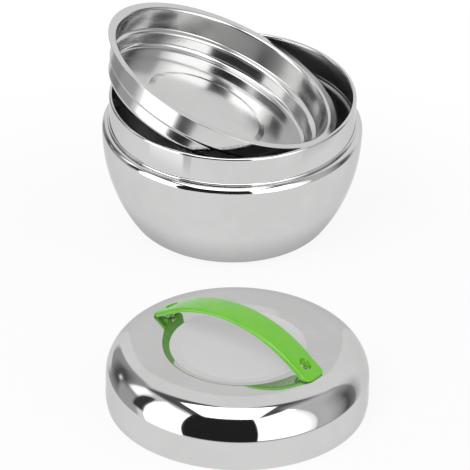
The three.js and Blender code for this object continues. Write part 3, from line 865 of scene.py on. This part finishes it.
@dataclass
class Lid:
    """The domed lid: outer shell, liner, insulation and gasket."""

    sheet: float = 0.6
    fit_gap: float = 0.3
    turn_angle: float = -38
    hem_inset: float = 0.9
    hem_height: float = 5
    hem_bend: float = 15
    skirt_height: float = 20
    shoulder: float = 22
    ring_width: float = 12.3
    dish_slope: float = 13.3
    dish_depth: float = 4.4
    dish_bend: float = 7
    dish_roughness: float = 0.75
    dish_level: float = 0.65
    dish_metallic: float = 0.0
    bright_slope: float = 0.15
    gasket_width: float = 5
    gasket_lip: float = 1.3
    gasket_bend: float = 0.45
    liner_corner: float = 5
    liner_bend: float = 1.2
    radius: float = field(init=False)
    centre: np.ndarray = field(init=False)

    def __post_init__(self) -> None:
        """Takes the lid's place and radius from the frame."""
        self.radius = half_across("lid_outer_shell")
        low, high = millimetres("lid_outer_shell")
        self.centre = np.array([(low[0] + high[0]) / 2, (low[1] + high[1]) / 2, 0])

    @property
    def top(self) -> float:
        """Height of the flat ring."""
        return self.skirt_height + self.shoulder

    @property
    def crown_radius(self) -> float:
        """Radius at which the round shoulder starts."""
        return self.radius - self.shoulder

    def carried(self, surface: Surface, x: float = 0.0) -> Surface:
        """Carries a surface from a distance along the handle, in the lid's own axes, to its place.

        Args:
            surface: Surface about the Z axis.
            x: Distance of its axis from the lid's, along the handle.

        Returns:
            The surface in its place.
        """
        turn = np.array(Matrix.Rotation(math.radians(self.turn_angle), 3, "Z"))
        return surface.placed(self.centre + turn @ (x, 0, 0), turn)

    def outer_shell(self) -> tuple[Profile, Profile]:
        """Draws the outer shell in two stretches, from its edge to the dish's floor and on to the axis.

        Returns:
            A drawn-in hem, an upright skirt, a round shoulder, a flat ring and the dish's slope; then its
            floor.
        """
        hem = Profile.rounded(
            [(self.radius - self.hem_inset, self.sheet / 2), (self.radius, self.hem_height),
             (self.radius, self.skirt_height)], [self.hem_bend])
        shoulder = Profile.arc((self.crown_radius, self.skirt_height), self.shoulder, 0, 90, SIDE_STEPS)
        dish = self.crown_radius - self.ring_width
        floor = dish - self.dish_slope
        floor_z = self.top - self.dish_depth
        inner = floor - self.dish_bend / 2
        ring = Profile.rounded(
            [(self.crown_radius, self.top), (dish, self.top), (floor, floor_z), (inner, floor_z)],
            [self.dish_bend, self.dish_bend])
        return Profile.joined([hem, shoulder, ring]), Profile.line((inner, floor_z), (0, floor_z))

    def liner(self) -> Surface:
        """Draws the liner: a flange that carries the gasket, then a shallow cup up to its ceiling.

        Returns:
            The liner.
        """
        low, high = millimetres("lid_inner_liner")
        edge = half_across("lid_inner_liner") - self.sheet / 2
        flange = low[2] + self.sheet
        cup = half_across("lid_gasket") - self.gasket_width
        line = Profile.rounded([(edge, flange), (cup, flange), (cup, high[2]), (0, high[2])],
                               [self.liner_bend, self.liner_corner])
        return turned(line.sheet(self.sheet))

    def gasket(self) -> Surface:
        """Draws the gasket: a flat ring whose lower edges slope in, with every corner rounded.

        Returns:
            The gasket.
        """
        low, high = (corner[2] for corner in millimetres("lid_gasket"))
        outer = half_across("lid_gasket")
        inner = outer - self.gasket_width
        lip = self.gasket_lip
        middle = (inner + outer) / 2
        corners = [
            (middle, low), (outer - lip, low), (outer, low + lip), (outer, high),
            (inner, high), (inner, low + lip), (inner + lip, low), (middle, low),
        ]
        return turned(Profile.rounded(corners, [self.gasket_bend] * (len(corners) - 2)))

    def height(self, distance: Lengths) -> Lengths:
        """Gives the lid's height at distances from its axis: flat, then down the shoulder's arc."""
        into = np.maximum(distance - self.crown_radius, 0)
        return self.skirt_height + np.sqrt(self.shoulder ** 2 - into ** 2)

    def build(self, effects: SharedEffects, steel: Material, foam: Material) -> None:
        """Builds and dresses the lid's pieces, hidden from mirrors; the shell is satin in its dish.

        Args:
            effects: The shared node groups.
            steel: Material of the liner.
            foam: Material of the insulation.
        """
        bright, floor = self.outer_shell()
        section = Profile.joined([bright, floor]).sheet(self.sheet)
        satin = math.hypot(self.dish_slope, self.dish_depth) * (1 - self.bright_slope)
        dished = replace(
            POLISHED_STEEL, name="polished_steel_lid", dull_roughness=self.dish_roughness,
            dull_from=section.lengths()[-1] - floor.lengths()[-1] - satin, dull_level=self.dish_level,
            dull_metallic=self.dish_metallic).material(effects)
        silicone = SILICONE.material(effects)
        for surface, name, material, slot, node in (
                (turned(section), "lid_outer_shell_skin", dished, Slot.STEEL, "lid_outer_shell"),
                (self.liner(), "lid_inner_liner_skin", steel, Slot.STEEL, "lid_inner_liner"),
                (self.gasket(), "lid_gasket_ring", silicone, Slot.SILICONE, "lid_gasket")):
            piece = self.carried(surface).to_object(name)
            piece.visible_glossy = False
            dressed(piece, material, Body.LID, node)
        kept(["lid_insulation"], foam)
        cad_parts["lid_insulation"].visible_glossy = False


@dataclass
class Handle:
    """The strap handle across the lid, with the screws, washers and nuts that hold it."""

    lid: Lid
    reach: float = 2.3
    arch_radius: float = 92
    middle_width: float = 19.5
    end_width: float = 18.4
    strap: float = 3.4
    crown: float = 0.8
    top_edge: float = 2.4
    low_edge: float = 0.7
    edge_share: float = 0.45
    tip_radius: float = 5
    tip_thickness: float = 1.2
    tip_edge: float = 0.6
    foot_length: float = 14
    foot_slope: float = 32.2
    foot_flare: float = 3
    rib_width: float = 11
    rib_draft: float = 0.6
    edge_lift: float = 0.2
    screw_inset: float = 9.5
    recess_radius: float = 3.8
    recess_bend: float = 0.2
    recess_sharp: float = 35
    head_seat: float = 1.5
    head_radius: float = 3.1
    head_dome: float = 0.15
    head_bend: float = 0.6
    neck_bend: float = 0.2
    shank_radius: float = 2
    shank_bend: float = 0.3
    cross_width: float = 0.9
    cross_length: float = 3.6
    cross_depth: float = 0.9
    cross_over: float = 1
    cross_sharp: float = 30

    @property
    def half_length(self) -> float:
        """Half the handle's length."""
        return self.lid.crown_radius + self.reach

    @property
    def foot_start(self) -> float:
        """Distance from the lid's axis at which the handle's arch ends and a foot starts."""
        return self.half_length - self.foot_length

    @property
    def screw_x(self) -> float:
        """Distance of each screw from the lid's axis."""
        return self.half_length - self.screw_inset

    @property
    def seat_z(self) -> float:
        """Height of the floor of a screw's recess."""
        return self.lid.height(self.screw_x) + self.head_seat

    def drop(self, distance: Lengths) -> Lengths:
        """Gives the drop of the handle's top: a round arch, then a straight foot.

        Args:
            distance: Distances from the lid's axis.

        Returns:
            The drop at each.
        """
        on_arch = np.minimum(distance, self.foot_start)
        on_foot = np.maximum(distance - self.foot_start, 0)
        arch = self.arch_radius - np.sqrt(self.arch_radius ** 2 - on_arch ** 2)
        return arch + on_foot * math.tan(math.radians(self.foot_slope))

    def stations(self) -> np.ndarray:
        """Gives the distances along the handle of its sections, closer together round the tips.

        Returns:
            The distances, from one tip to the other.
        """
        tip = self.half_length - self.tip_radius
        round_off = tip + self.tip_radius * np.sin(np.linspace(0, math.pi / 2, 3 * ROUND_STEPS))
        half = np.concatenate([np.linspace(0, tip, STRAP_STEPS + 1)[:-1], round_off])
        return np.concatenate([-half[:0:-1], half])

    @staticmethod
    def section_form() -> np.ndarray:
        """Draws a rounded rectangle, anticlockwise from its lower left corner, in shares of its sizes.

        A point lies at share (half - edge) + sideways edge across, and upward edge above the middle of its
        edge's arc.

        Returns:
            Rows of the share, the sideways part and the upward part, and of 1 for the upper half.
        """
        quarter = np.linspace(0, math.pi / 2, EDGE_STEPS + 1)
        flat = np.linspace(-1, 1, FACE_STEPS + 1)[1:-1]
        one = np.ones_like(quarter)
        left = [-one, -np.cos(quarter), -np.sin(quarter)]
        middle = [flat, 0 * flat, -np.ones_like(flat)]
        right = [one, np.sin(quarter), -np.cos(quarter)]
        lower = np.concatenate([left, middle, right], axis=1)
        upper_half = np.repeat([0, 1], lower.shape[1])
        return np.vstack([np.concatenate([lower, -lower], axis=1), upper_half])

    def surface(self) -> Surface:
        """Draws the handle: a rounded, crowned strip carried along the arch, with feet shaped to the lid.

        At a distance s along it and a place y across it, the top is at the arch's height less the crown
        times (y / half the middle width)^2, and the underside is the strap's thickness below the arch; over
        a foot, a rib along its middle eases down to the lid.

        Returns:
            The handle without its recesses.
        """
        s = self.stations()[:, None]
        distance = np.abs(s)
        share, sideways, upward, side = self.section_form()[:, None, :]

        def rounding(radius: float) -> np.ndarray:
            """Gives how far a quarter-circle of a radius at the tip falls away."""
            into = np.maximum(distance - (self.half_length - radius), 0)
            return radius - np.sqrt(np.maximum(radius ** 2 - into ** 2, 0))

        spread = (distance / self.half_length) ** 2
        width = self.middle_width + (self.end_width - self.middle_width) * spread
        half = width / 2 - rounding(self.tip_radius)
        end_z = self.lid.height(self.half_length) + self.tip_thickness
        arch = end_z + self.drop(self.half_length) - self.drop(distance)
        top = arch - rounding(self.tip_edge)
        slope = np.arcsin(np.minimum(distance, self.foot_start) / self.arch_radius)
        strap = arch - self.strap / np.cos(slope)
        edge = np.minimum(np.where(side > 0, self.top_edge, self.low_edge), half / 2)
        y = share * (half - edge) + sideways * edge
        lid = self.lid.height(distance) + self.lid.fit_gap
        clear = np.maximum(strap, lid + self.edge_lift)
        ease = np.clip((distance - self.foot_start) / self.foot_flare, 0, 1)
        ease = ease * ease * (3 - 2 * ease)
        rib = np.minimum(self.rib_width / 2, half - edge - 2 * self.rib_draft)
        within = np.clip((rib + self.rib_draft - np.abs(y)) / self.rib_draft, 0, 1)
        bottom = clear + (lid - clear) * ease * within
        depth = np.maximum(top - self.crown * (2 * half / self.middle_width) ** 2 - bottom, 0)
        edge_z = np.minimum(edge, self.edge_share * depth)
        crowned = top - self.crown * (y / (self.middle_width / 2)) ** 2
        z = np.where(side > 0, crowned - edge_z + upward * edge_z, bottom + edge_z + upward * edge_z)
        sections = np.stack([np.broadcast_to(s, z.shape), y, np.maximum(z, bottom)], -1)
        return covered(sections, np.linspace(0, 1, len(s) + 2), sections[[0, -1]].mean(axis=1))

    def recess_cutter(self) -> Surface:
        """Draws the round cutter of a screw's recess, standing on the head's seat.

        Returns:
            The cutter.
        """
        low, high = self.seat_z, self.lid.top + self.lid.shoulder
        corners = [(0, low), (self.recess_radius, low), (self.recess_radius, high), (0, high)]
        return turned(Profile.rounded(corners, [self.recess_bend] * 2), SMALL_SEGMENTS)

    def screw(self, node: str) -> Surface:
        """Draws a pan-head screw from its tail to the domed top of its head.

        Args:
            node: Name of the CAD node, which gives its ends.

        Returns:
            The screw without its cross.
        """
        low, high = (corner[2] for corner in millimetres(node))
        seat = self.seat_z + self.lid.fit_gap
        corners = [
            (0, low), (self.shank_radius, low), (self.shank_radius, seat), (self.head_radius, seat),
            (self.head_radius, high - self.head_dome), (0, high),
        ]
        bends = [self.shank_bend, self.neck_bend, self.neck_bend, self.head_bend]
        return turned(Profile.rounded(corners, bends), SMALL_SEGMENTS)

    def cross_cutter(self, top: float) -> Surface:
        """Draws the cutter of a cross recess: a plus-shaped prism from the recess's floor to above the head.

        Args:
            top: Height of the screw's head.

        Returns:
            The cutter.
        """
        a, b = self.cross_width / 2, self.cross_length / 2
        outline = np.array([(b, -a), (b, a), (a, a), (a, b), (-a, b), (-a, a),
                            (-b, a), (-b, -a), (-a, -a), (-a, -b), (a, -b), (a, -a)])
        count = len(outline)
        heights = (top - self.cross_depth, top + self.cross_over)
        places = np.concatenate([np.concatenate([outline, np.full((count, 1), z)], 1) for z in heights])
        step = np.arange(count)
        after = (step + 1) % count
        walls = np.stack([step, after, after + count, step + count], -1)
        corners = np.concatenate([walls.ravel(), step[::-1], step + count])
        sizes = np.concatenate([np.full(count, 4), [count, count]])
        return Surface(places, corners, sizes, np.zeros((len(corners), 2)))

    def build(self, effects: SharedEffects) -> None:
        """Builds and dresses the handle and its fixings; light bounced off it doesn't tint the lid.

        Args:
            effects: The shared node groups.
        """
        screw = SCREW_STEEL.material(effects)
        handle = self.lid.carried(self.surface()).to_object("strap_handle")
        handle.visible_diffuse = False
        for side, x in (("left", -self.screw_x), ("right", self.screw_x)):
            cut(handle, self.lid.carried(self.recess_cutter(), x), self.recess_sharp)
            node = f"handle_screw_{side}"
            head = self.lid.carried(self.screw(node), x).to_object(f"pan_head_screw_{side}")
            cut(head, self.lid.carried(self.cross_cutter(millimetres(node)[1][2]), x), self.cross_sharp)
            dressed(head, screw, Body.LID, node)
        dressed(handle, GREEN_PLASTIC.material(effects), Body.LID, "handle")
        fixings = [f"{kind}_{side}" for kind in ("screw_washer", "screw_nut") for side in ("left", "right")]
        kept(fixings, ZINC.material(effects))


@dataclass(frozen=True)
class Panel:
    """A soft-edged patch of the studio, in degrees round from the camera's side and up from level.

    Its top edge drops by the bow at both ends, as a parabola over its width, and leans up to the right.
    """

    level: float
    around: Pair
    up: Pair
    soft: Pair
    bow: float = 0.0
    lean: float = 0.0

    def inputs(self) -> dict[str, float]:
        """Gives the panel's sizes by the names of the panel group's inputs."""
        return {"Around Low": self.around[0], "Around High": self.around[1], "Up Low": self.up[0],
                "Up High": self.up[1], "Side Soft": self.soft[0], "Top Soft": self.soft[1],
                "Bow": self.bow, "Lean": self.lean}


@dataclass(frozen=True)
class Lamp:
    """A soft square lamp: its name, its place, its side and its power in watts."""

    name: str
    place: Triple
    size: float
    power: float

    def build(self, aim: Triple) -> None:
        """Hangs the lamp, hidden from mirrors.

        Args:
            aim: The point it faces.
        """
        data = bpy.data.lights.new(self.name, "AREA")
        data.size = self.size
        data.energy = self.power
        lamp = new_object(self.name, data)
        lamp.location = self.place
        lamp.rotation_euler = (Vector(self.place) - Vector(aim)).to_track_quat("Z", "Y").to_euler()
        lamp.visible_glossy = False


def stage_quad(name: str, corners: Sequence[Triple]) -> tuple[Object, Sheet]:
    """Adds a flat piece of the stage, with a material that has no nodes yet.

    Args:
        name: Name of the piece.
        corners: Its four corners, anticlockwise seen from its front.

    Returns:
        The piece and the sheet of its material.
    """
    mesh = bpy.data.meshes.new(name)
    mesh.from_pydata(corners, [], [(0, 1, 2, 3)])
    piece = new_object(name, mesh)
    material = bpy.data.materials.new(f"pale_{name}")
    material.use_nodes = True
    material.node_tree.nodes.clear()
    mesh.materials.append(material)
    return piece, Sheet(material.node_tree)


@dataclass
class Studio:
    """The pale floor, the surroundings that the steel mirrors, and the lamps."""

    floor_half: float = 4.0
    floor_z: float = -0.0002
    floor_middle: Pair = (0.005, -0.206)
    pot_middle: Pair = (0, 0)
    lid_middle: Pair = (0.0066, -0.2216)
    mirrored_by_lid: Pair = (0.118, 0.13)
    mirrored_by_pot: Pair = (0.19, 0.22)
    paper: float = 0.9
    floor_level: float = 0.91
    # Painted shadow under the pot that only mirrors see: this share of the level, eased out between these
    # radii.
    painted_shadow_share: float = 0.62
    painted_shadow_radii: Pair = (0.052, 0.088)
    white_near: float = 0.88
    white_from: Pair = (0.22, 0.42)
    surround: float = 0.88
    ambient: float = 0.6
    ceiling_level: float = 2.6
    ceiling_across: Pair = (-0.53, 0.33)
    ceiling_along: Pair = (0.0, 0.80)
    ceiling_soft: Pair = (0.03, 0.03)
    least_rise: float = 0.01
    walls: tuple[Panel, ...] = (
        Panel(0.10, (-116, 112), (40, 84), (10, 8)),
    )
    panels: tuple[Panel, ...] = (
        Panel(0.42, (62, 118), (-30, 57.5), (3, 4), 8, -9),
        Panel(0.72, (64, 112), (38, 57), (10, 24), 6, -5),
        Panel(0.10, (92, 118), (-30, 24), (24, 24)),
        Panel(2.2, (17, 70), (-30, 55), (2, 4), 2, 5),
        Panel(0.6, (64, 94), (-30, 50), (24, 6)),
        Panel(0.75, (-108, -48), (25, 51), (8, 5), 6),
        Panel(0.38, (-150, -92), (-24, 46), (5, 6), 40),
        Panel(0.10, (-136, -112), (-10, 30), (12, 18), 10),
        Panel(0.45, (-118, -92), (-24, 10), (6, 10)),
        Panel(1.0, (-124, -120), (5, 12), (4, 5)),
        Panel(2.2, (-83, -46), (-30, 44), (2, 6), 0, -3),
        Panel(0.20, (17, 118), (-30, -23), (2, 4)),
        Panel(0.05, (-96, -83), (-6, 39), (3, 5), 14),
        Panel(1.5, (-111, -97), (18, 42), (4, 5)),
        Panel(0.02, (-46, 18), (-30, 49), (1.5, 6)),
    )
    card_across: Pair = (-0.1, 0.1)
    card_y: float = -0.108
    card_top: float = 0.18
    card_glow_level: float = 0.78
    lamps: tuple[Lamp, ...] = (
        Lamp("key_lamp", (-0.8, -1.0, 1.5), 1.0, 11),
        Lamp("fill_lamp", (1.1, -0.7, 1.2), 1.2, 4),
    )
    lamp_aim: Triple = (0, -0.1, 0)

    def panel_group(self) -> NodeTree:
        """Builds one soft panel: the product of four smooth edges, two across it and two in height.

        Returns:
            The group.
        """
        labels = ["Around", "Up", *self.panels[0].inputs()]
        sheet, given, out = new_group("studio_panel", labels, ["Mask"])

        def edge(value: Socket, limit: Socket, soft: str) -> Socket:
            """Rises from 0 to 1 as a value passes a limit, over a width."""
            offset = sheet.math("DIVIDE", sheet.math("SUBTRACT", value, limit), given[soft])
            return sheet.math("ADD", offset, 0.5, clamp=True)

        around, low, high = given["Around"], given["Around Low"], given["Around High"]
        width = sheet.math("SUBTRACT", high, low)
        share = sheet.math("DIVIDE", sheet.math("SUBTRACT", around, low), width)
        offset = sheet.math("SUBTRACT", sheet.math("MULTIPLY", share, 2.0), 1.0)
        drop = sheet.math("MULTIPLY", given["Bow"], sheet.math("MULTIPLY", offset, offset))
        lean = sheet.math("MULTIPLY", given["Lean"], offset)
        top = sheet.math("ADD", sheet.math("SUBTRACT", given["Up High"], drop), lean)
        sides = sheet.math("MULTIPLY", edge(around, low, "Side Soft"), edge(high, around, "Side Soft"))
        rise = sheet.math("MULTIPLY", edge(given["Up"], given["Up Low"], "Top Soft"),
                          edge(top, given["Up"], "Top Soft"))
        sheet.fill(out, {"Mask": sheet.math("MULTIPLY", sides, rise)})
        return sheet.tree

    def world(self) -> None:
        """Builds the surroundings: white to the camera, an even level for light, and panels for mirrors."""
        world = bpy.data.worlds.new("studio")
        bpy.context.scene.world = world
        world.use_nodes = True
        sheet = Sheet(world.node_tree)
        sheet.tree.nodes.clear()
        way = sheet.add("ShaderNodeTexCoord").outputs["Generated"]
        x, y, z = sheet.add("ShaderNodeSeparateXYZ", {0: way}).outputs
        front = sheet.math("MULTIPLY", y, -1.0)
        around = sheet.math("DEGREES", sheet.math("ARCTAN2", x, front))
        up = sheet.math("DEGREES", sheet.math("ARCSINE", z))
        height = sheet.math("MAXIMUM", z, self.least_rise)
        across, along = sheet.math("DIVIDE", x, height), sheet.math("DIVIDE", front, height)
        group = self.panel_group()
        ceiling = Panel(self.ceiling_level, self.ceiling_across, self.ceiling_along, self.ceiling_soft)
        colour = grey(self.surround)
        for panel in (*self.walls, ceiling, *self.panels):
            first, second = (across, along) if panel is ceiling else (around, up)
            inputs = {"Around": first, "Up": second, **panel.inputs()}
            mask = sheet.add("ShaderNodeGroup", inputs, node_tree=group).outputs["Mask"]
            colour = sheet.mix(mask, colour, grey(panel.level))
        path = sheet.add("ShaderNodeLightPath")
        lit = sheet.mix(path.outputs["Is Glossy Ray"], grey(self.ambient), colour)
        seen = sheet.mix(path.outputs["Is Camera Ray"], lit, WHITE)
        background = sheet.add("ShaderNodeBackground", {"Color": seen, "Strength": 1.0})
        sheet.add("ShaderNodeOutputWorld", {"Surface": background.outputs[0]})

    def floor(self) -> None:
        """Lays the floor: pale, with the object's shadow near it, plain white further off.

        Mirrors see it near lid and pot, with a painted shadow under the pot; past that, the surroundings.
        """
        half, z = self.floor_half, self.floor_z
        corners = [(-half, -half, z), (half, -half, z), (half, half, z), (-half, half, z)]
        sheet = stage_quad("floor", corners)[1]
        places = sheet.add("ShaderNodeTexCoord").outputs["Object"]

        def away(middle: Pair) -> Socket:
            """Gives the distance from a place on the floor."""
            inputs = {0: places, 1: (*middle, 0)}
            return sheet.add("ShaderNodeVectorMath", inputs, operation="DISTANCE").outputs["Value"]

        path = sheet.add("ShaderNodeLightPath")
        mirrored = path.outputs["Is Glossy Ray"]
        far = sheet.spread(away(self.floor_middle), *self.white_from, self.white_near, 1.0)
        seen = sheet.math("MULTIPLY", path.outputs["Is Camera Ray"], far)
        from_pot = away(self.pot_middle)
        # Painted shadow: mirrors see the floor's emission darker near the pot's foot, where no lamp shades
        # it.
        under = self.painted_shadow_share * self.floor_level
        shaded = sheet.spread(from_pot, *self.painted_shadow_radii, under, self.floor_level)
        level = sheet.mix(mirrored, WHITE, shaded)
        paper = sheet.add("ShaderNodeBsdfDiffuse", {"Color": grey(self.paper)}).outputs[0]
        white = sheet.add("ShaderNodeEmission", {"Color": level, "Strength": 1.0}).outputs[0]
        surface = sheet.blend(sheet.math("MAXIMUM", seen, mirrored), paper, white)
        past_lid = sheet.spread(away(self.lid_middle), *self.mirrored_by_lid)
        past_pot = sheet.spread(from_pot, *self.mirrored_by_pot)
        hidden = sheet.math("MULTIPLY", sheet.math("MINIMUM", past_lid, past_pot), mirrored)
        clear = sheet.add("ShaderNodeBsdfTransparent").outputs[0]
        sheet.add("ShaderNodeOutputMaterial", {"Surface": sheet.blend(hidden, surface, clear)})

    def card(self) -> None:
        """Stands a glowing card between pot and lid: a painted reflection that only the lid's mirrors see.
        """
        (left, right), y, top = self.card_across, self.card_y, self.card_top
        card, sheet = stage_quad("card", [(left, y, 0), (right, y, 0), (right, y, top), (left, y, top)])
        card.visible_camera = False
        card.visible_diffuse = False
        card.visible_shadow = False
        card.visible_transmission = False
        # The card glows: a painted reflection, pale where the lid would mirror the pot.
        glow = sheet.add("ShaderNodeEmission", {"Color": WHITE, "Strength": self.card_glow_level}).outputs[0]
        clear = sheet.add("ShaderNodeBsdfTransparent").outputs[0]
        behind = sheet.add("ShaderNodeNewGeometry").outputs["Backfacing"]
        sheet.add("ShaderNodeOutputMaterial", {"Surface": sheet.blend(behind, glow, clear)})

    def build(self) -> None:
        """Builds the whole studio."""
        self.world()
        self.floor()
        self.card()
        for lamp in self.lamps:
            lamp.build(self.lamp_aim)


@dataclass(frozen=True)
class Shot:
    """The photograph's viewpoint."""

    image: int = 470
    elevation: float = 31.8
    roll: float = 1.2
    mm_per_pixel: float = 0.6372
    origin_pixel: Pair = (230.4, 214.4)
    distance: float = 12.0
    sensor: float = 36.0

    def build(self) -> None:
        """Places a long-lens camera so that the part's origin falls on its pixel."""
        rise = math.radians(self.elevation)
        roll = math.radians(self.roll)
        level = Vector((1, 0, 0))
        upright = Vector((0, math.sin(rise), math.cos(rise)))
        right = level * math.cos(roll) + upright * math.sin(roll)
        up = upright * math.cos(roll) - level * math.sin(roll)
        back = right.cross(up)
        scale = self.mm_per_pixel * MM
        middle = self.image / 2
        aim = right * (middle - self.origin_pixel[0]) * scale - up * (middle - self.origin_pixel[1]) * scale
        data = bpy.data.cameras.new("camera")
        data.sensor_width = self.sensor
        data.lens = self.sensor * self.distance / (self.image * scale)
        camera = new_object("camera", data)
        turn = Matrix((right, up, back)).transposed().to_4x4()
        camera.matrix_world = Matrix.Translation(aim + back * self.distance) @ turn
        bpy.context.scene.camera = camera


def main() -> None:
    """Builds the camera, the studio and every piece of the lunch box."""
    logging.basicConfig(level=logging.INFO, format="%(name)s %(message)s")
    bpy.context.scene.view_settings.view_transform = "Standard"
    Shot().build()
    Studio().build()
    effects = SharedEffects()
    steel = POLISHED_STEEL.material(effects)
    foam = FOAM.material(effects)
    Pot().build(effects, steel, foam)
    Tray().build(BRUSHED_STEEL.material(effects))
    lid = Lid()
    lid.build(effects, steel, foam)
    Handle(lid).build(effects)


if __name__ == "__main__":
    main()
